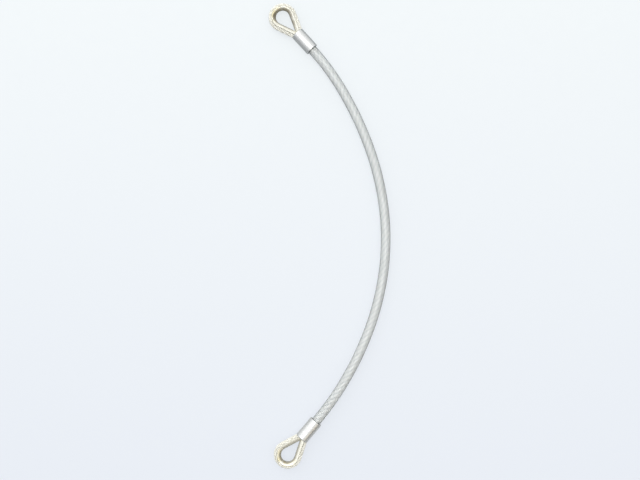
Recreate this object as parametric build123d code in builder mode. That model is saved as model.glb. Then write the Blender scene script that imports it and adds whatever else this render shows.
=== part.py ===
from build123d import *
import os
from math import asin, cos, degrees, pi, radians, sin, tan

# A short wire rope sling that lies on a flat surface. The span is covered with clear PVC, and each
# end is turned round a steel thimble and closed with a pressed aluminium ferrule.
# Millimetres. The surface is Z = 0, +Y runs from the lower eye to the upper one, and the origin is
# the middle of the object's box on that surface.

# Rope, sheath and ferrule
rope_diameter = 6.0
sheath_diameter = 9.4
ferrule_diameter = 13.0
ferrule_length = 22.4
ferrule_end_round = 0.8
ferrule_wall = 0.6
fit_gap = 0.05

# Thimble
opening_width = 13.4
opening_length = 24.8
thimble_wall = 1.2
flange_reach = 3.9
tip_gap = 2.4
end_gap = 0.2
lip_round = 0.5

# Rope legs inside a ferrule, measured from its span end
mouth_offset = 2.45
centred_at = 4.0
dead_end_at = 5.0
live_bend_radius = 18.0
dead_bend_radius = 12.0

# The span's route, from the upper ferrule to the lower one. The bow droops onto the surface
# between the two ferrules, which stand a little higher than the sheath.
ferrule_height = ferrule_diameter / 2
floor_height = sheath_diameter / 2
span_route = [
    (-16.9, 182.5, ferrule_height),
    (-0.5, 164.6, ferrule_height),
    (25.3, 120.9, 6.2),
    (44.2, 74.4, 5.4),
    (54.7, 25.9, floor_height),
    (55.5, -23.9, floor_height),
    (46.4, -72.7, floor_height),
    (28.4, -119.1, 5.5),
    (3.0, -162.5, ferrule_height),
    (-13.1, -181.5, ferrule_height),
]

# Worked out from the dimensions above
bore_limit = ferrule_diameter / 2 - ferrule_wall
rope_radius = rope_diameter / 2
opening_radius = opening_width / 2
point_to_crown = opening_length - opening_radius
half_angle = asin(opening_radius / point_to_crown)
groove_depth = thimble_wall + rope_radius
loop_radius = opening_radius + groove_depth
point_at = ferrule_length + tip_gap
crown_at = point_at + point_to_crown
bearing_at = crown_at + opening_radius
tangent_along = crown_at - loop_radius * sin(half_angle)
tangent_across = loop_radius * cos(half_angle)
corner_along = tangent_along - (tangent_across - mouth_offset) / tan(half_angle)


def eye_plane(ferrule_end, next_point):
    """The plane of an eye: origin at the ferrule's span end, X towards the eye."""
    outward = Vector(*ferrule_end) - Vector(*next_point)
    return Plane(origin=ferrule_end, x_dir=(outward.X, outward.Y, 0), z_dir=(0, 0, 1))


def on_eye(plane, along, across):
    """A point of an eye, from its distance along and across the ferrule's axis."""
    return plane.from_local_coords(Vector(along, across, 0))


def on_loop(plane, angle):
    """A point of the rope's centreline round the crown, at an angle from the eye's far side."""
    along = crown_at + loop_radius * cos(radians(angle))
    return on_eye(plane, along, loop_radius * sin(radians(angle)))


def crown_arc(plane, start_angle, end_angle):
    """The rope's centreline round part of the crown."""
    middle = (start_angle + end_angle) / 2
    return ThreePointArc(on_loop(plane, start_angle), on_loop(plane, middle), on_loop(plane, end_angle))


def arc_radii(points):
    """The largest tangent arc that the two runs beside each corner leave room for."""
    radii = []
    for before, corner, after in zip(points, points[1:], points[2:]):
        run_in = Vector(*corner) - Vector(*before)
        run_out = Vector(*after) - Vector(*corner)
        half_turn = radians(run_in.get_angle(run_out)) / 2
        radii.append(0.45 * min(run_in.length, run_out.length) / tan(half_turn))
    return radii


upper_eye = eye_plane(span_route[0], span_route[1])
lower_eye = eye_plane(span_route[-1], span_route[-2])
straight_turn = 90 + degrees(half_angle)
span_radii = arc_radii(span_route)
print("span arc radii, mm:", [round(radius) for radius in span_radii])

# The live rope's centreline: half of one crown, a leg through the ferrule, the span, and back
with BuildLine() as live_path:
    crown_arc(upper_eye, 0, straight_turn)
    FilletPolyline(
        on_eye(upper_eye, tangent_along, tangent_across),
        on_eye(upper_eye, corner_along, mouth_offset),
        on_eye(upper_eye, centred_at, 0),
        *span_route[1:-1],
        on_eye(lower_eye, centred_at, 0),
        on_eye(lower_eye, corner_along, mouth_offset),
        on_eye(lower_eye, tangent_along, tangent_across),
        radius=[live_bend_radius, live_bend_radius, *span_radii, live_bend_radius, live_bend_radius],
    )
    crown_arc(lower_eye, straight_turn, 0)

with BuildLine() as span_path:
    FilletPolyline(*span_route, radius=span_radii)


def round_bar(path, radius, bore_radius=0.0):
    """A round bar along a path, or a tube when it has a bore."""
    with BuildPart() as bar:
        with BuildSketch(Plane(origin=path.line @ 0, z_dir=path.line % 0)):
            Circle(radius)
            if bore_radius:
                Circle(bore_radius, mode=Mode.SUBTRACT)
        sweep(path=path.line)
    return bar.part


def dead_leg(plane, radius):
    """The other half of an eye, from the crown's far side to its end inside the ferrule."""
    with BuildLine() as leg_path:
        crown_arc(plane, 0, -straight_turn)
        FilletPolyline(
            on_eye(plane, tangent_along, -tangent_across),
            on_eye(plane, corner_along, -mouth_offset),
            on_eye(plane, dead_end_at, -mouth_offset),
            radius=dead_bend_radius,
        )
    return round_bar(leg_path, radius)


def axis_bar(plane, radius, bore_radius=0.0):
    """A bar or tube on a ferrule's axis and of its length."""
    with BuildPart() as bar:
        with BuildSketch(Plane(origin=plane.origin, z_dir=plane.x_dir)):
            Circle(radius)
            if bore_radius:
                Circle(bore_radius, mode=Mode.SUBTRACT)
        extrude(amount=ferrule_length)
    return bar.part


def make_ferrule(plane):
    """A pressed ferrule: a bar with rounded ends, bored for both legs of the rope."""
    dead_space = dead_leg(plane, rope_radius + fit_gap)
    with BuildPart() as legs_bore:
        add(live_space)
        add(dead_space)
        add(axis_bar(plane, bore_limit), mode=Mode.INTERSECT)
    with BuildPart() as ferrule:
        add(axis_bar(plane, ferrule_diameter / 2))
        fillet(ferrule.edges().filter_by(GeomType.CIRCLE), ferrule_end_round)
        add(legs_bore.part, mode=Mode.SUBTRACT)
    return ferrule.part


def make_thimble(plane):
    """A teardrop bent from a half-round channel, its two ends mitred at the point."""
    lip_at = flange_reach - groove_depth
    with BuildPart() as thimble:
        with BuildLine() as half_path:
            crown_arc(plane, 0, straight_turn)
            Line(half_path.line @ 1, on_eye(plane, corner_along, mouth_offset))
        with BuildSketch(Plane(origin=on_loop(plane, 0), x_dir=plane.x_dir, z_dir=plane.y_dir)) as channel:
            Circle(groove_depth)
            Circle(rope_radius + fit_gap, mode=Mode.SUBTRACT)
            with Locations((lip_at, 0)):
                Rectangle(loop_radius, loop_radius, align=(Align.MIN, Align.CENTER), mode=Mode.SUBTRACT)
            fillet(channel.vertices(), lip_round)
        sweep(path=half_path.line)
        with BuildSketch(plane.offset(-loop_radius)):
            with Locations((0, -loop_radius)):
                Rectangle(crown_at, loop_radius + end_gap / 2, align=Align.MIN)
            Rectangle(ferrule_length + end_gap, loop_radius, align=Align.MIN)
        extrude(amount=2 * loop_radius, mode=Mode.SUBTRACT)
        mirror(about=Plane(origin=plane.origin, z_dir=plane.y_dir))
    return thimble.part


# Wire rope: the live rope, and two dead ends that are pressed against it inside the ferrules
live_rope = round_bar(live_path, rope_radius)
live_space = round_bar(live_path, rope_radius + fit_gap)
dead_legs = [dead_leg(plane, rope_radius) for plane in (upper_eye, lower_eye)]
ferrule_walls = [axis_bar(plane, ferrule_diameter, bore_limit - fit_gap) for plane in (upper_eye, lower_eye)]
with BuildPart() as wire_rope:
    add(dead_legs)
    add(live_space, mode=Mode.SUBTRACT)
    add(live_rope)
    add(ferrule_walls, mode=Mode.SUBTRACT)

# Sheath: a clear tube on the span, from one ferrule's end face to the other's
with BuildPart() as rope_sheath:
    add(round_bar(span_path, sheath_diameter / 2, rope_radius + fit_gap))

pieces = {
    "wire_rope": wire_rope.part,
    "rope_sheath": rope_sheath.part,
    "upper_ferrule": make_ferrule(upper_eye),
    "lower_ferrule": make_ferrule(lower_eye),
    "upper_thimble": make_thimble(upper_eye),
    "lower_thimble": make_thimble(lower_eye),
}

os.makedirs("parts", exist_ok=True)
for name, piece in pieces.items():
    piece.label = name
    export_step(piece, f"parts/{name}.step")

span_length = span_path.wire().length
whole = Compound(children=list(pieces.values())).bounding_box()
rope_section = pi * rope_radius**2
print("span length, mm:", round(span_length, 1))
print("bearing to bearing, mm:", round(span_length + 2 * bearing_at, 1))
print("live rope volume over section times length:",
      round(live_rope.volume / (rope_section * live_path.wire().length), 4))
print("whole box, mm:", whole.min, whole.max)
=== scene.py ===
import math

import bmesh
import bpy
from bpy.props import FloatProperty, FloatVectorProperty, IntProperty, PointerProperty
from mathutils import Matrix, Vector, noise


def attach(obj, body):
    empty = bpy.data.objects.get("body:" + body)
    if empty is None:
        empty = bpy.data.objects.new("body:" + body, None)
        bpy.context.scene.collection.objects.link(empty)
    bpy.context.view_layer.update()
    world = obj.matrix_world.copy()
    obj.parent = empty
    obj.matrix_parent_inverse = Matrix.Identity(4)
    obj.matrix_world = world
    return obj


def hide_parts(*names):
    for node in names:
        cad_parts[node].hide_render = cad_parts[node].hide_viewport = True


bl_info = {
    "name": "Thimble Eye Wire Rope Sling",
    "version": (1, 0, 0),
    "blender": (4, 5, 0),
    "location": "3D View > Sidebar > Sling",
    "description": "Builds a short covered wire rope sling with a thimble and a ferrule at each end",
    "category": "Add Mesh",
}

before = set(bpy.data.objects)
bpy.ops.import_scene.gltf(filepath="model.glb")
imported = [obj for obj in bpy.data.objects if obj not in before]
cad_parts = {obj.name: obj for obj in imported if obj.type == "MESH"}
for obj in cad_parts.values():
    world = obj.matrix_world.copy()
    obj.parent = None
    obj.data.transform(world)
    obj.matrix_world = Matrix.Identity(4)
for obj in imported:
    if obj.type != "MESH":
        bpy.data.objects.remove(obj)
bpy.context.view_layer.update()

UP = Vector((0, 0, 1))

# Heights of the rope's centre: in a ferrule, and where the sheath lies on the floor
FERRULE_HEIGHT = 0.0065
FLOOR_HEIGHT = 0.0047

# The covered span: its length, and its route from the upper ferrule to the lower one
SPAN_LENGTH = 0.398
SPAN_ROUTE = [
    (-0.0169, 0.1825, FERRULE_HEIGHT),
    (-0.0005, 0.1646, FERRULE_HEIGHT),
    (0.0253, 0.1209, 0.0062),
    (0.0442, 0.0744, 0.0054),
    (0.0547, 0.0259, FLOOR_HEIGHT),
    (0.0555, -0.0239, FLOOR_HEIGHT),
    (0.0464, -0.0727, FLOOR_HEIGHT),
    (0.0284, -0.1191, 0.0055),
    (0.0030, -0.1625, FERRULE_HEIGHT),
    (-0.0131, -0.1815, FERRULE_HEIGHT),
]

# How many points a route's spline is read at, from one control point to the next
ROUTE_DETAIL = 24

# Each thimble's darkest places, tarnished and with painted shade, from its crown's centre: along, across,
# size and strength
UPPER_TARNISH_AND_SHADE = [(0.007, 0.0083, 0.010, 0.35), (-0.007, -0.007, 0.016, 0.46)]
LOWER_TARNISH_AND_SHADE = [(-0.007, 0.007, 0.014, 0.15)]
TARNISH_AND_SHADE_HEIGHT = 0.004


def length_property(name, description, default):
    """A size in metres that a user can change."""
    return FloatProperty(
        name=name, description=description, default=default, min=0, unit="LENGTH", precision=5
    )


def colour_property(name, description, default):
    """A colour that a user can change."""
    return FloatVectorProperty(
        name=name, description=description, default=default, size=3, min=0, max=1, subtype="COLOR"
    )


class SlingSizes(bpy.types.PropertyGroup):
    """Sizes of the rope and its fittings."""

    rope_diameter: length_property("Rope", "Diameter of the bare rope", 0.006)
    rope_lay: length_property("Rope lay", "Length in which a strand goes once round the rope", 0.038)
    wire_spacing: length_property("Wire step", "Distance between the points of a wire's line", 0.0009)
    wires: IntProperty(name="Wires", description="Outer wires of each strand", default=9, min=5)
    strands: IntProperty(name="Strands", description="Strands laid round the core strand", default=6, min=3)
    sheath_diameter: length_property("Sheath", "Outside diameter of the clear sheath", 0.0094)
    sheath_gap: length_property("Sheath gap", "Bare rope between a ferrule and the sheath", 0.0004)
    ferrule_diameter: length_property("Ferrule", "Pressed diameter of a ferrule", 0.013)
    ferrule_length: length_property("Ferrule length", "Length of a ferrule", 0.0224)
    ferrule_round: length_property("Ferrule rounding", "Rounding of a ferrule's ends", 0.0008)
    opening_width: length_property("Opening width", "Width of a thimble's opening", 0.0134)
    opening_length: length_property("Opening length", "Length of a thimble's opening", 0.0248)
    thimble_wall: length_property("Thimble wall", "Thickness of a thimble's channel", 0.0012)
    flange_reach: length_property("Flange reach", "From the opening's edge to the channel's lips", 0.0039)
    tip_gap: length_property("Point gap", "From a ferrule's mouth to the opening's point", 0.0024)
    mouth_offset: length_property("Leg offset", "From a ferrule's axis to each leg of the rope", 0.00245)
    dead_end_at: length_property("Dead end", "From a ferrule's span end to the rope's dead end", 0.005)
    centred_at: length_property("Centred", "From a ferrule's span end to where the rope is centred", 0.004)


class SlingColours(bpy.types.PropertyGroup):
    """Colours of the finishes."""

    # Painted brightness: the same wire as the bare eyes, painted paler under the sheath to stand in for
    # light
    covered_wire_painted_bright: colour_property("Covered wire", "Galvanised wire under the sheath", (0.97, 0.97, 0.97))
    wire: colour_property("Bare wire", "Galvanised wire of the eyes", (0.80, 0.79, 0.73))
    wire_dull: colour_property("Dull wire", "Galvanised wire where it has dulled", (0.60, 0.58, 0.50))
    sheath: colour_property("Sheath", "Clear soft plastic", (0.93, 0.975, 0.965))
    # Painted shade: clear plastic darkened where it lies in a groove between strands
    sheath_groove_shade: colour_property("Sheath groove", "Clear plastic by a groove", (0.58, 0.62, 0.64))
    # Partly the plastic's deeper tint along a longer path, partly painted shade at the rims
    sheath_edge_shade: colour_property("Sheath edge", "Clear plastic at its edges", (0.17, 0.215, 0.22))
    haze: colour_property("Haze", "Cloudiness in the sheath", (0.97, 0.99, 0.99))
    # Painted shade: the haze darkened where it lies in a groove between strands
    haze_groove_shade: colour_property("Haze groove", "Cloudiness by a groove", (0.86, 0.895, 0.91))
    ferrule: colour_property("Ferrule", "Pressed aluminium", (0.69, 0.70, 0.70))
    ferrule_mark: colour_property("Ferrule mark", "Aluminium where it is rubbed dull", (0.50, 0.52, 0.55))
    thimble: colour_property("Thimble", "Zinc plate with a straw tint", (0.79, 0.78, 0.71))
    thimble_straw: colour_property("Thimble straw", "Yellower zinc near the crown", (0.76, 0.69, 0.45))
    # Part tarnish, part painted shade: this dark brown is also laid down the inner flanks and round the
    # listed spots
    thimble_stain_and_shade: colour_property("Thimble stain", "Olive and brown tarnish", (0.15, 0.115, 0.065))
    floor_far: colour_property("Far floor", "Pale floor on the light's side", (0.897, 0.937, 0.936))
    floor_near: colour_property("Near floor", "Pale floor away from the light", (0.742, 0.777, 0.859))
    floor_grain: colour_property("Floor grain", "Faint clouds in the floor", (0.80, 0.84, 0.87))
    bounce_far: colour_property("Far bounce", "Far floor as the pieces see it", (0.37, 0.39, 0.40))
    bounce_near: colour_property("Near bounce", "Near floor as the pieces see it", (0.55, 0.56, 0.56))
    sky_shade: colour_property("Sky shade", "Soft light from the dark side", (0.92, 0.95, 1.0))
    sky_light: colour_property("Sky light", "Soft light from the bright side", (1.0, 1.0, 0.985))


class Eye:
    """An eye's own axes: along its ferrule towards the eye, across it, and up."""

    def __init__(self, name, ferrule_end, next_point, tarnish_and_shade, sizes):
        self.name = name
        self.sizes = sizes
        origin = Vector(ferrule_end)
        along = origin - Vector(next_point)
        along.z = 0
        along.normalize()
        across = UP.cross(along)
        self.matrix = Matrix((along, across, UP)).transposed().to_4x4()
        self.matrix.translation = origin
        self.angle = math.atan2(along.y, along.x)
        self.rope_radius = sizes.rope_diameter / 2
        self.opening_radius = sizes.opening_width / 2
        point_to_crown = sizes.opening_length - self.opening_radius
        self.half_angle = math.asin(self.opening_radius / point_to_crown)
        self.groove_depth = sizes.thimble_wall + self.rope_radius
        self.loop_radius = self.opening_radius + self.groove_depth
        self.crown_at = sizes.ferrule_length + sizes.tip_gap + point_to_crown
        self.straight_turn = math.pi / 2 + self.half_angle
        # Spots of tarnish and painted shade, placed on the thimble
        self.tarnish_and_shade = []
        for ahead, aside, size, strength in tarnish_and_shade:
            spot = self.place(self.crown_at + ahead, aside, TARNISH_AND_SHADE_HEIGHT)
            self.tarnish_and_shade.append((spot, size, strength))

    def place(self, along, across, up=0.0):
        """A point in the object's frame."""
        return self.matrix @ Vector((along, across, up))

    def leg(self, side):
        """Where a straight leg leaves the crown, and where it meets its line in the ferrule."""
        tangent = Vector((
            self.crown_at - self.loop_radius * math.sin(self.half_angle),
            side * self.loop_radius * math.cos(self.half_angle),
        ))
        drop = (abs(tangent.y) - self.sizes.mouth_offset) / math.tan(self.half_angle)
        return tangent, Vector((tangent.x - drop, side * self.sizes.mouth_offset))

    def rope_route(self, crown_corners=8, mouth_bend=0.004):
        """Control points of the rope, from its dead end round the thimble to the ferrule's span end."""
        step = 2 * self.straight_turn / crown_corners
        corner_radius = self.loop_radius / math.cos(step / 2)
        reach = self.loop_radius * math.tan(step / 2)
        legs = []
        for side in (-1, 1):
            tangent, corner = self.leg(side)
            down = (corner - tangent).normalized()
            legs.append([corner, corner - down * mouth_bend, tangent + down * reach])
        crown = []
        for number in range(crown_corners):
            angle = step * (number + 0.5) - self.straight_turn
            along = self.crown_at + corner_radius * math.cos(angle)
            crown.append((along, corner_radius * math.sin(angle)))
        dead_end = (self.sizes.dead_end_at, -self.sizes.mouth_offset)
        route = [dead_end, *legs[0], *crown, *reversed(legs[1]), (self.sizes.centred_at, 0), (0, 0)]
        return [self.place(*point) for point in route]


def both_eyes():
    """The upper and the lower eye."""
    sizes = bpy.context.scene.sling_sizes
    upper = Eye("upper", SPAN_ROUTE[0], SPAN_ROUTE[1], UPPER_TARNISH_AND_SHADE, sizes)
    lower = Eye("lower", SPAN_ROUTE[-1], SPAN_ROUTE[-2], LOWER_TARNISH_AND_SHADE, sizes)
    return upper, lower


# Lines and curves


def add_nurbs(curve, control_points):
    """Adds one open smooth spline that starts and ends on its end points."""
    spline = curve.splines.new("NURBS")
    spline.points.add(len(control_points) - 1)
    for point, place in zip(spline.points, control_points):
        point.co = (*place, 1)
    spline.order_u = 3
    spline.use_endpoint_u = True
    return spline


def new_curve(name, radius=0, ring_detail=0):
    """An empty 3D curve whose splines are round bars of this radius, or bare lines."""
    curve = bpy.data.curves.new(name, "CURVE")
    curve.dimensions = "3D"
    curve.resolution_u = ROUTE_DETAIL
    curve.bevel_depth = radius
    curve.bevel_resolution = ring_detail
    curve.use_fill_caps = radius > 0
    return curve


def read_route(control_points):
    """Points along the smooth spline with these control points."""
    curve = new_curve("route")
    add_nurbs(curve, control_points)
    holder = bpy.data.objects.new("route", curve)
    line = bpy.data.meshes.new_from_object(holder)
    points = [vertex.co.copy() for vertex in line.vertices]
    bpy.data.meshes.remove(line)
    bpy.data.objects.remove(holder)
    bpy.data.curves.remove(curve)
    return points


def even_points(points, spacing):
    """Points at an even distance along a line of points."""
    result = [points[0]]
    left = spacing
    for start, end in zip(points, points[1:]):
        run = (end - start).length
        while run > 0 and left <= run:
            start = start.lerp(end, left / run)
            result.append(start)
            run = (end - start).length
            left = spacing
        left -= run
    return result


def rope_axes(points):
    """Point, tangent and one side direction along a line, carried along it without twist."""
    side = None
    result = []
    for number, point in enumerate(points):
        before = points[max(number - 1, 0)]
        after = points[min(number + 1, len(points) - 1)]
        tangent = (after - before).normalized()
        if side is None:
            side = UP.cross(tangent)
        side = (side - tangent * side.dot(tangent)).normalized()
        result.append((point, tangent, side))
    return result


def link(piece_name, data):
    """A new object in the scene."""
    piece = bpy.data.objects.new(piece_name, data)
    bpy.context.scene.collection.objects.link(piece)
    return piece


def finish_piece(piece, material, slot_name, *nodes):
    """Gives a piece its material, and its place in the frame."""
    piece.data.materials.append(material)
    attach(piece, "root")
    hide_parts(*nodes)
    return piece


# Materials


class Number:
    """A socket that carries a number. Arithmetic on it adds Math nodes."""

    def __init__(self, tree, socket):
        self.tree = tree
        self.socket = socket

    def maths(self, operation, first, second):
        """The result of a Math node."""
        node = self.tree.nodes.new("ShaderNodeMath")
        node.operation = operation
        for socket, value in zip(node.inputs, (first, second)):
            connect(self.tree, socket, value)
        return Number(self.tree, node.outputs[0])

    def __add__(self, other):
        return self.maths("ADD", self, other)

    def __radd__(self, other):
        return self.maths("ADD", other, self)

    def __sub__(self, other):
        return self.maths("SUBTRACT", self, other)

    def __rsub__(self, other):
        return self.maths("SUBTRACT", other, self)

    def __mul__(self, other):
        return self.maths("MULTIPLY", self, other)

    def __rmul__(self, other):
        return self.maths("MULTIPLY", other, self)

    def __pow__(self, other):
        return self.maths("POWER", self, other)

    def __abs__(self):
        return self.maths("ABSOLUTE", self, 0)

    def sine(self):
        """The sine of an angle in radians."""
        return self.maths("SINE", self, 0)


def connect(tree, socket, value):
    """Links a socket to a value, or sets it."""
    if isinstance(value, Number):
        tree.links.new(value.socket, socket)
    elif isinstance(value, bpy.types.NodeSocket):
        tree.links.new(value, socket)
    elif socket.type == "RGBA":
        socket.default_value = (*value[:3], 1)
    elif hasattr(value, "__len__"):
        socket.default_value = tuple(value)
    else:
        socket.default_value = value


class Recipe:
    """A node tree that is filled by one method."""

    def __init__(self, tree):
        self.tree = tree
        self.tree.nodes.clear()

    def add(self, kind, settings=None, inputs=None, output=0):
        """Adds a node with its settings and inputs, and returns one of its outputs, if it has any."""
        node = self.tree.nodes.new("ShaderNode" + kind)
        for name, value in (settings or {}).items():
            setattr(node, name, value)
        for name, value in (inputs or {}).items():
            connect(self.tree, node.inputs[name], value)
        return node.outputs[output] if node.outputs else None

    def number(self, *arguments, **options):
        """A node's output, ready for arithmetic."""
        return Number(self.tree, self.add(*arguments, **options))

    def coordinate(self, vector, axis):
        """One coordinate of a vector."""
        return self.number("SeparateXYZ", inputs={"Vector": vector}, output=axis)

    def attribute(self, name):
        """A number that the mesh carries at its vertices."""
        return self.number("Attribute", {"attribute_name": name}, output="Fac")

    def distance(self, place, spot):
        """How far a place is from one spot."""
        return self.number("VectorMath", {"operation": "DISTANCE"}, {0: place, 1: spot}, output="Value")

    def noise(self, place, scale, detail=3.0, roughness=0.5, distortion=0.0):
        """Noise from 0 to 1."""
        return self.number("TexNoise", inputs={
            "Vector": place,
            "Scale": scale,
            "Detail": detail,
            "Roughness": roughness,
            "Distortion": distortion,
        })

    def step(self, value, low, high, bottom=0.0, top=1.0):
        """A smooth step from bottom to top as a value goes from low to high."""
        settings = {"interpolation_type": "SMOOTHSTEP"}
        inputs = {"Value": value, "From Min": low, "From Max": high, "To Min": bottom, "To Max": top}
        return self.number("MapRange", settings, inputs)

    def mix(self, factor, first, second):
        """A mix of two colours. A Mix node's colours are its inputs 6 and 7, and its output 2."""
        return self.add("Mix", {"data_type": "RGBA"}, {0: factor, 6: first, 7: second}, output=2)

    def turned(self, eye=None, scale=(1, 1, 1)):
        """Object coordinates, turned along an eye's ferrule and stretched."""
        place = self.add("TexCoord", output="Object")
        angle = -eye.angle if eye else 0
        inputs = {"Vector": place, "Rotation": (0, 0, angle), "Scale": scale}
        return self.add("Mapping", inputs=inputs)

    def bump(self, height, strength, distance):
        """A normal roughened by a height."""
        return self.add("Bump", inputs={"Height": height, "Strength": strength, "Distance": distance})

    def surface(self, shader, kind="OutputMaterial"):
        """Ends the recipe with a surface shader."""
        self.add(kind, inputs={"Surface": shader})

    def shader(self, inputs):
        """A Principled shader."""
        return self.add("BsdfPrincipled", inputs=inputs)


def new_material(name):
    """A new material and the recipe that fills its nodes."""
    material = bpy.data.materials.new(name)
    material.use_nodes = True
    return material, Recipe(material.node_tree)


def wire_material(colours):
    """Drawn and galvanised steel wire, dulled in patches, and duller in the bare eyes; under the sheath it
    is painted paler, a painted brightness that stands in for light.
    """
    material, recipe = new_material("galvanised_wire")
    place = recipe.turned()
    patches = recipe.step(recipe.noise(place, 260, 4, 0.6), 0.42, 0.68)
    grain = recipe.noise(place, 2600, 3, 0.6)
    sheath_end, bare_from = 0.178, 0.186
    bare = recipe.step(abs(recipe.coordinate(place, "Y")), sheath_end, bare_from)
    # Painted brightness: the wire under the sheath takes the paler colour
    bright = recipe.mix(bare, colours.covered_wire_painted_bright, colours.wire)
    dull = recipe.mix(bare, colours.wire, colours.wire_dull)
    recipe.surface(recipe.shader({
        "Base Color": recipe.mix(patches * 0.6 + grain * 0.1, bright, dull),
        "Metallic": 0.22 - 0.12 * patches,
        "Roughness": 0.54 + 0.10 * grain + 0.12 * patches,
        "Normal": recipe.bump(grain, 0.25, 0.00004),
    }))
    return material


def sheath_material(colours, sizes):
    """Clear soft plastic, a little hazy and scuffed, that swells over the strands; painted shade darkens it
    in the grooves between them, and towards its edges it darkens partly as a deeper tint and partly as
    painted shade.
    """
    material, recipe = new_material("clear_sheath")
    place = recipe.turned()
    cloud = recipe.noise(place, 120, 4, 0.6)
    scuffs = recipe.step(recipe.noise(place, 700, 6, 0.7, 0.6), 0.58, 0.72)
    # The sheath's own map runs along it in X and once round it in Y
    around = recipe.add("UVMap")
    turns = SPAN_LENGTH / sizes.rope_lay
    strand_phase = 1.0
    laid = recipe.coordinate(around, "Y") - turns * recipe.coordinate(around, "X")
    # Painted shade in the grooves between the strands, in both the clear and the hazy layer
    swell = (math.tau * sizes.strands * laid - strand_phase).sine()
    groove = recipe.step(swell, -0.9, 0.3, 1.0, 0.0)
    clear_tint_with_groove_shade = recipe.mix(groove, colours.sheath, colours.sheath_groove_shade)
    haze_with_groove_shade = recipe.mix(groove, colours.haze, colours.haze_groove_shade)
    skin = recipe.bump(recipe.noise(place, 340, 3) * 0.5 + 0.5 * swell, 0.35, 0.0002)
    # Darker as the surface turns away towards the edges: partly a deeper tint, partly painted shade
    edge = recipe.number("LayerWeight", inputs={"Blend": 0.5}, output="Facing") ** 2
    clear = recipe.shader({
        "Base Color": recipe.mix(edge, clear_tint_with_groove_shade, colours.sheath_edge_shade),
        "Transmission Weight": 1.0,
        "IOR": 1.53,
        "Roughness": 0.03 + 0.05 * cloud + 0.12 * scuffs,
        "Normal": skin,
    })
    milky = recipe.shader({
        "Base Color": recipe.mix(edge, haze_with_groove_shade, colours.sheath_edge_shade),
        "Roughness": 0.30,
        "Normal": skin,
    })
    haze = 0.33 + 0.05 * cloud + 0.08 * scuffs
    recipe.surface(recipe.add("MixShader", inputs={"Fac": haze, 1: clear, 2: milky}))
    return material


def ferrule_material(colours, eye):
    """Pressed aluminium with fine lines along it, small dents and dull marks."""
    material, recipe = new_material(eye.name + "_aluminium")
    place = recipe.turned(eye)
    drawn_out = recipe.turned(eye, (0.06, 1, 1))
    slanting = recipe.turned(eye, (0.35, 1, 1))
    lines = recipe.noise(drawn_out, 1500, 4, 0.6)
    marks = recipe.step(recipe.noise(place, 240, 5, 0.65, 0.4), 0.56, 0.70)
    dents = recipe.noise(place, 420, 2, 0.5)
    scratches = recipe.step(recipe.noise(slanting, 900, 6, 0.7, 1.2), 0.60, 0.70)
    dullness = marks * 0.45 + scratches * 0.25
    recipe.surface(recipe.shader({
        "Base Color": recipe.mix(dullness, colours.ferrule, colours.ferrule_mark),
        "Metallic": 1.0,
        "Roughness": 0.36 + 0.14 * lines + 0.14 * marks,
        "Normal": recipe.bump(lines * 0.35 + dents - scratches * 0.6, 0.30, 0.00012),
    }))
    return material


def thimble_material(colours, eye):
    """Zinc plate with a straw tint, tarnished inside the opening and most of all at the crown; the same
    dark brown is also painted shade down the inner flanks and round the listed spots.
    """
    material, recipe = new_material(eye.name + "_zinc_plate")
    place = recipe.turned()
    depth = recipe.attribute("depth")
    crown = recipe.attribute("crown")
    patches = recipe.noise(place, 210, 4, 0.6)
    cloud = recipe.step(recipe.noise(place, 520, 5, 0.65, 0.5), 0.50, 0.72)
    grain = recipe.noise(place, 1800, 4, 0.6)
    straw = recipe.step(patches, 0.36, 0.60) * (0.10 + 0.90 * crown)
    warm = recipe.mix(straw, colours.thimble, colours.thimble_straw)
    # Painted shade and tarnish together: the stain deepens down the inner flanks, at the crown and round
    # the listed spots
    reach = depth + 0.26 * crown
    amount = 0.12 + 0.68 * crown
    for spot, size, strength in eye.tarnish_and_shade:
        ragged = recipe.distance(place, spot) + 0.004 * patches
        spread = recipe.step(ragged, 0.4 * size, size, strength, 0.0)
        reach = reach + spread
        amount = amount + spread
    stain_and_shade = recipe.step(reach, 0.54, 0.80) * amount * recipe.step(patches, 0.26, 0.46)
    recipe.surface(recipe.shader({
        "Base Color": recipe.mix(stain_and_shade * 0.9 + cloud * 0.12, warm, colours.thimble_stain_and_shade),
        "Metallic": 0.70 - 0.2 * stain_and_shade,
        "Roughness": 0.32 + 0.16 * grain + 0.12 * cloud + 0.12 * stain_and_shade,
        "Normal": recipe.bump(grain * 0.3 + recipe.noise(place, 380, 2), 0.25, 0.00015),
    }))
    return material


def floor_material(colours):
    """A pale matt floor, that the pieces reflect as a dimmer one."""
    material, recipe = new_material("pale_floor")
    place = recipe.turned()
    grain = recipe.noise(place, 90, 4)
    far = recipe.coordinate(place, "Y")
    tone = recipe.mix(recipe.step(far, -0.6, 0.6), colours.floor_near, colours.floor_far)
    base = recipe.mix(grain * 0.25, tone, colours.floor_grain)
    matt = recipe.add("BsdfDiffuse", inputs={"Color": base})
    lit = recipe.add("Emission", inputs={"Color": base})
    pale = recipe.add("MixShader", inputs={"Fac": 0.8, 1: matt, 2: lit})
    bounce = recipe.mix(recipe.step(far, -0.2, 0.2), colours.bounce_near, colours.bounce_far)
    dim = recipe.add("BsdfDiffuse", inputs={"Color": bounce})
    seen = recipe.add("LightPath", output="Is Camera Ray")
    recipe.surface(recipe.add("MixShader", inputs={"Fac": seen, 1: dim, 2: pale}))
    return material


# Operators


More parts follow.
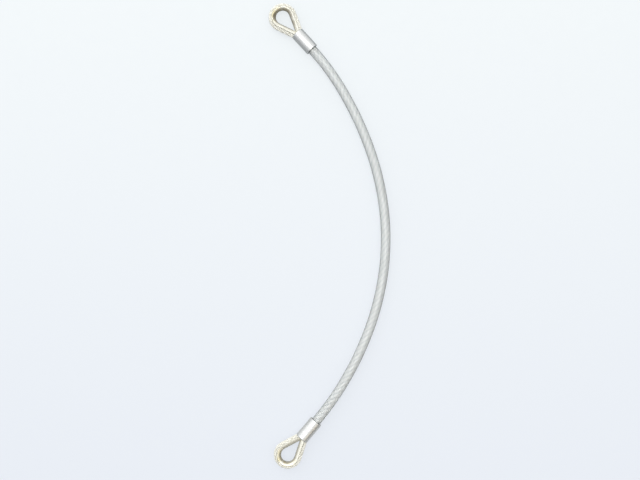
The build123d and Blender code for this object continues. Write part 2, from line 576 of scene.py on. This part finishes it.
class SLING_OT_stage(bpy.types.Operator):
    """Make the camera, the pale floor and the soft studio light"""

    bl_idname = "sling.stage"
    bl_label = "Stage"

    centre = Vector((-0.00935, -0.00397, 0.0))
    view_width = 0.6272
    lens = 60.0
    clip_end = 30
    floor_reach = 9
    light_side = (-0.30, 0.80, 0.52)
    dark_sky, bright_sky = 0.15, 1.10

    # Name, place, size, watts and colour of each softbox
    softboxes = (
        ("overhead", (-0.05, 0.25, 1.9), (0.8, 1.2), 12.5, (1.0, 1.0, 1.0)),
        ("key", (-0.85, 1.1, 1.2), (1.0, 1.0), 5.0, (0.96, 0.98, 1.0)),
        ("warm_fill", (0.75, -0.95, 0.95), (0.8, 0.8), 2.4, (1.0, 0.88, 0.66)),
    )

    def execute(self, context):
        colours = context.scene.sling_colours
        self.make_camera(context.scene)
        self.make_world(context.scene, colours)
        self.make_floor(colours)
        for softbox in self.softboxes:
            self.make_softbox(*softbox)
        context.scene.view_settings.view_transform = "Standard"
        return {"FINISHED"}

    def make_camera(self, scene):
        """A camera that looks straight down on the sling."""
        data = bpy.data.cameras.new("camera")
        data.lens = self.lens
        distance = self.view_width * data.lens / data.sensor_width
        camera = link("camera", data)
        camera.location = self.centre + UP * (FERRULE_HEIGHT + distance)
        data.clip_end = self.clip_end
        scene.camera = camera

    def make_world(self, scene, colours):
        """Soft light all round, stronger from one side."""
        world = bpy.data.worlds.new("studio")
        world.use_nodes = True
        scene.world = world
        recipe = Recipe(world.node_tree)
        direction = recipe.add("TexCoord", output="Generated")
        towards = {0: direction, 1: self.light_side}
        facing = recipe.number("VectorMath", {"operation": "DOT_PRODUCT"}, towards, output="Value")
        glow = recipe.step(facing, -0.45, 0.45, self.dark_sky, self.bright_sky)
        tint = recipe.mix(recipe.step(facing, -0.5, 0.8), colours.sky_shade, colours.sky_light)
        background = recipe.add("Background", inputs={"Color": tint, "Strength": glow})
        recipe.surface(background, "OutputWorld")

    def make_floor(self, colours):
        """The floor that the sling lies on."""
        mesh = bmesh.new()
        bmesh.ops.create_grid(mesh, x_segments=1, y_segments=1, size=self.floor_reach)
        data = bpy.data.meshes.new("floor")
        mesh.to_mesh(data)
        mesh.free()
        floor = link("floor", data)
        data.materials.append(floor_material(colours))

    def make_softbox(self, name, place, size, power, colour):
        """A rectangular light that points at the sling."""
        data = bpy.data.lights.new(name, "AREA")
        data.shape = "RECTANGLE"
        data.size, data.size_y = size
        data.energy = power
        data.color = colour
        lamp = link(name, data)
        lamp.location = place
        lamp.rotation_euler = (self.centre - lamp.location).to_track_quat("-Z", "Y").to_euler()


class SLING_OT_rope(bpy.types.Operator):
    """Lay the rope's strands along its whole route, and put the clear sheath on the span"""

    bl_idname = "sling.rope"
    bl_label = "Rope and sheath"

    wire_ring_detail = 1
    sheath_ring_detail = 10

    # How far a strand's middle reaches past the centres of its wires, as a share of a wire's radius
    middle_reach = 0.7

    def execute(self, context):
        sizes = context.scene.sling_sizes
        colours = context.scene.sling_colours
        upper, lower = both_eyes()
        points = read_route(upper.rope_route())
        points += read_route(SPAN_ROUTE)[1:]
        points += list(reversed(read_route(lower.rope_route())))[1:]
        axes = rope_axes(even_points(points, sizes.wire_spacing))
        material = wire_material(colours)
        offset = sizes.rope_diameter / 3
        strands = []
        for number in range(sizes.strands):
            start_angle = math.tau * number / sizes.strands
            strands.append(self.make_strand(f"strand_{number + 1}", axes, sizes, offset, start_angle))
        strands.append(self.make_strand("core_strand", axes, sizes, 0, 0))
        for strand in strands:
            finish_piece(strand, material, "galvanised_rope", "wire_rope")
        self.make_sheath(colours, sizes, strands)
        return {"FINISHED"}

    def make_strand(self, name, axes, sizes, offset, start_angle):
        """One strand: a ring of wires round a filled middle, on a helix about the rope's line."""
        strand_radius = sizes.rope_diameter / 6
        wire_radius = strand_radius / (1 + 1 / math.sin(math.pi / sizes.wires))
        ring_radius = strand_radius - wire_radius
        middle_radius = ring_radius + wire_radius * self.middle_reach
        curve = new_curve(name, wire_radius, self.wire_ring_detail)
        turn_rate = math.tau / sizes.rope_lay
        # An outer strand's wires are laid the other way, so that they run along the rope's outside
        wire_rate = 1 + offset / ring_radius if offset else -1
        lines = [[] for _ in range(sizes.wires)]
        middle = []
        for number, (point, tangent, side) in enumerate(axes):
            turn = start_angle + number * sizes.wire_spacing * turn_rate
            binormal = tangent.cross(side)
            radial = side * math.cos(turn) + binormal * math.sin(turn)
            around = tangent.cross(radial)
            heading = (tangent + around * offset * turn_rate).normalized()
            beside = heading.cross(radial)
            centre = point + radial * offset
            middle.append(centre)
            for wire, line in enumerate(lines):
                angle = math.tau * wire / sizes.wires - wire_rate * turn
                line.append(centre + (radial * math.cos(angle) + beside * math.sin(angle)) * ring_radius)
        for line in lines:
            add_line(curve, line, 1)
        add_line(curve, middle, middle_radius / wire_radius)
        return link(name, curve)

    def make_sheath(self, colours, sizes, strands):
        """The clear sheath, a tight cover on the span."""
        route = [Vector(point) for point in SPAN_ROUTE]
        route[0] += (route[1] - route[0]).normalized() * sizes.sheath_gap
        route[-1] += (route[-2] - route[-1]).normalized() * sizes.sheath_gap
        curve = new_curve("clear_sheath", sizes.sheath_diameter / 2, self.sheath_ring_detail)
        add_nurbs(curve, route)
        sheath = link("clear_sheath", curve)
        finish_piece(sheath, sheath_material(colours, sizes), "clear_pvc", "rope_sheath")


def add_line(curve, line, thickness):
    """Adds one straight-run spline of a given thickness, relative to the curve's radius."""
    spline = curve.splines.new("POLY")
    spline.points.add(len(line) - 1)
    for point, place in zip(spline.points, line):
        point.co = (*place, 1)
        point.radius = thickness
    spline.use_smooth = True


def mesh_piece(name, mesh, eye):
    """Turns a mesh that was built in an eye's own axes into an object in the frame."""
    bmesh.ops.transform(mesh, matrix=eye.matrix, verts=mesh.verts)
    data = bpy.data.meshes.new(name)
    mesh.to_mesh(data)
    mesh.free()
    data.shade_smooth()
    return link(name, data)


class SLING_OT_thimbles(bpy.types.Operator):
    """Bend a teardrop thimble from a half-round channel for each eye"""

    bl_idname = "sling.thimbles"
    bl_label = "Thimbles"

    profile_corners = 48
    crown_steps = 30
    leg_steps = 9
    clearance = 0.00005
    end_gap = 0.0002
    flare_length = 0.0004
    flare = 0.00018
    wave_scale = 320
    wave_height = 0.00006
    edge_round = 0.00032
    merge_distance = 1e-6

    def execute(self, context):
        colours = context.scene.sling_colours
        for eye in both_eyes():
            piece = self.make_thimble(eye)
            finish_piece(piece, thimble_material(colours, eye), "thimble_steel", eye.name + "_thimble")
        return {"FINISHED"}

    def make_thimble(self, eye):
        """A channel swept round half the crown and down one leg, mirrored to make both."""
        sizes = eye.sizes
        inner = eye.rope_radius + self.clearance
        outer = eye.groove_depth
        middle = (inner + outer) / 2
        mesh = bmesh.new()
        bmesh.ops.create_circle(mesh, segments=self.profile_corners, radius=middle)
        lip = sizes.flange_reach - eye.groove_depth - self.flare_length
        bmesh.ops.bisect_plane(mesh, geom=mesh.verts[:] + mesh.edges[:], plane_co=(lip, 0, 0),
                               plane_no=(1, 0, 0), clear_outer=True)
        ends = [vertex for vertex in mesh.verts if len(vertex.link_edges) == 1]
        rim = bmesh.ops.extrude_vert_indiv(mesh, verts=ends)["verts"]
        for vertex in rim:
            outward = math.copysign(self.flare, vertex.co.y)
            bmesh.ops.translate(mesh, verts=[vertex], vec=(self.flare_length, outward, 0))
        depth = mesh.verts.layers.float.new("depth")
        for vertex in mesh.verts:
            vertex[depth] = (lip - vertex.co.x) / (lip + middle)
        upright = Matrix.Rotation(math.pi / 2, 4, "X")
        bmesh.ops.transform(mesh, matrix=upright, verts=mesh.verts)
        bmesh.ops.translate(mesh, verts=mesh.verts, vec=(eye.crown_at + eye.loop_radius, 0, 0))
        swept = bmesh.ops.spin(
            mesh, geom=mesh.verts[:] + mesh.edges[:], cent=(eye.crown_at, 0, 0), axis=(0, 0, 1),
            angle=eye.straight_turn, steps=self.crown_steps,
        )
        ring = [part for part in swept["geom_last"] if isinstance(part, bmesh.types.BMEdge)]
        tangent, corner = eye.leg(1)
        heading = (corner - tangent).to_3d()
        leg_faces = []
        for _ in range(self.leg_steps):
            grown = bmesh.ops.extrude_edge_only(mesh, edges=ring)["geom"]
            verts = [part for part in grown if isinstance(part, bmesh.types.BMVert)]
            bmesh.ops.translate(mesh, verts=verts, vec=heading / self.leg_steps)
            ring = [part for part in grown if isinstance(part, bmesh.types.BMEdge)
                    and all(vertex in verts for vertex in part.verts)]
            leg_faces += [part for part in grown if isinstance(part, bmesh.types.BMFace)]
        self.trim(mesh, leg_faces, (0, self.end_gap / 2, 0), (0, -1, 0))
        leg_faces = [face for face in mesh.faces if face.calc_center_median().x < tangent.x]
        self.trim(mesh, leg_faces, (sizes.ferrule_length + self.end_gap, 0, 0), (-1, 0, 0))
        half = mesh.verts[:] + mesh.edges[:] + mesh.faces[:]
        bmesh.ops.mirror(mesh, geom=half, axis="Y", merge_dist=self.merge_distance)
        bmesh.ops.remove_doubles(mesh, verts=mesh.verts, dist=self.merge_distance)
        bmesh.ops.recalc_face_normals(mesh, faces=mesh.faces)
        crown = mesh.verts.layers.float.new("crown")
        for vertex in mesh.verts:
            reach = (vertex.co.x - tangent.x) / (eye.crown_at + eye.loop_radius - tangent.x)
            vertex[crown] = min(max(reach, 0), 1)
            wave = noise.noise(vertex.co * self.wave_scale) * self.wave_height
            vertex.co.z += math.copysign(wave, vertex.co.z)
        piece = mesh_piece(eye.name + "_thimble_channel", mesh, eye)
        wall = piece.modifiers.new("wall", "SOLIDIFY")
        wall.thickness = outer - inner
        wall.offset = 0
        wall.use_even_offset = True
        rounding = piece.modifiers.new("rounding", "BEVEL")
        rounding.width = self.edge_round
        rounding.segments = 3
        rounding.limit_method = "ANGLE"
        rounding.angle_limit = math.radians(50)
        return piece

    def trim(self, mesh, faces, point, outward):
        """Cuts faces with a plane and deletes what is beyond it."""
        faces = [face for face in faces if face.is_valid]
        edges = {edge for face in faces for edge in face.edges}
        verts = {vertex for face in faces for vertex in face.verts}
        bmesh.ops.bisect_plane(mesh, geom=[*verts, *edges, *faces], plane_co=point, plane_no=outward,
                               clear_outer=True, dist=1e-7)


class SLING_OT_ferrules(bpy.types.Operator):
    """Press an aluminium ferrule on each eye's two legs"""

    bl_idname = "sling.ferrules"
    bl_label = "Ferrules"

    corners = 96
    bands = 24
    rim_width = 0.0017
    end_dish = 0.0003
    seam_width = 0.00008
    seam_height = 0.00006
    dent_scale = 230
    dent = 0.00005

    def execute(self, context):
        colours = context.scene.sling_colours
        for eye in both_eyes():
            piece = self.make_ferrule(eye)
            material = ferrule_material(colours, eye)
            finish_piece(piece, material, "ferrule_aluminium", eye.name + "_ferrule")
        return {"FINISHED"}

    def make_ferrule(self, eye):
        """A short round bar with rounded ends, two faint die seams and shallow dents."""
        sizes = eye.sizes
        radius = sizes.ferrule_diameter / 2
        mesh = bmesh.new()
        bmesh.ops.create_cone(mesh, cap_ends=True, segments=self.corners, radius1=radius, radius2=radius,
                              depth=sizes.ferrule_length)
        halfway = Matrix.Translation((sizes.ferrule_length / 2, 0, 0))
        bmesh.ops.transform(mesh, matrix=halfway @ Matrix.Rotation(math.pi / 2, 4, "Y"), verts=mesh.verts)
        ends = [face for face in mesh.faces if len(face.verts) > 4]
        seams = [face for face in mesh.faces if len(face.verts) == 4 and abs(face.normal.y) > 0.999]
        bmesh.ops.inset_individual(mesh, faces=ends, thickness=self.rim_width, depth=-self.end_dish)
        rims = [edge for edge in mesh.edges if self.on_rim(edge, radius)]
        bmesh.ops.bevel(mesh, geom=rims, offset=sizes.ferrule_round, segments=5, profile=0.5,
                        affect="EDGES", material=-1, clamp_overlap=True)
        seams = [face for face in seams if face.is_valid]
        bmesh.ops.inset_individual(mesh, faces=seams, thickness=self.seam_width, depth=self.seam_height)
        for number in range(1, self.bands):
            across = sizes.ferrule_length * number / self.bands
            bmesh.ops.bisect_plane(mesh, geom=mesh.verts[:] + mesh.edges[:] + mesh.faces[:],
                                   plane_co=(across, 0, 0), plane_no=(1, 0, 0))
        # The angle gives each ferrule dents of its own
        other_dents = Vector((0, 0, eye.angle * 40))
        for vertex in mesh.verts:
            spot = vertex.co * self.dent_scale + other_dents
            radial = Vector((0, vertex.co.y, vertex.co.z)).normalized()
            vertex.co += radial * noise.noise(spot) * self.dent
        bmesh.ops.recalc_face_normals(mesh, faces=mesh.faces)
        piece = mesh_piece(eye.name + "_ferrule_pressed", mesh, eye)
        piece.data.set_sharp_from_angle(angle=math.radians(50))
        return piece

    def on_rim(self, edge, radius):
        """Whether an edge is part of the outer circle at either end."""
        first, second = edge.verts
        for vertex in edge.verts:
            if math.hypot(vertex.co.y, vertex.co.z) < 0.99 * radius:
                return False
        return abs(first.co.x - second.co.x) < 1e-6


class SLING_PT_panel(bpy.types.Panel):
    """The sling's pieces, in the order they are made"""

    bl_label = "Wire Rope Sling"
    bl_idname = "SLING_PT_panel"
    bl_space_type = "VIEW_3D"
    bl_region_type = "UI"
    bl_category = "Sling"

    def draw(self, context):
        for operator in OPERATORS:
            self.layout.operator(operator.bl_idname)


OPERATORS = (SLING_OT_stage, SLING_OT_rope, SLING_OT_thimbles, SLING_OT_ferrules)
CLASSES = (SlingSizes, SlingColours, *OPERATORS, SLING_PT_panel)


def register():
    for cls in CLASSES:
        bpy.utils.register_class(cls)
    bpy.types.Scene.sling_sizes = PointerProperty(type=SlingSizes)
    bpy.types.Scene.sling_colours = PointerProperty(type=SlingColours)


def unregister():
    del bpy.types.Scene.sling_colours
    del bpy.types.Scene.sling_sizes
    for cls in reversed(CLASSES):
        bpy.utils.unregister_class(cls)


def main():
    register()
    bpy.ops.sling.stage()
    bpy.ops.sling.rope()
    bpy.ops.sling.thimbles()
    bpy.ops.sling.ferrules()


if __name__ == "__main__":
    main()
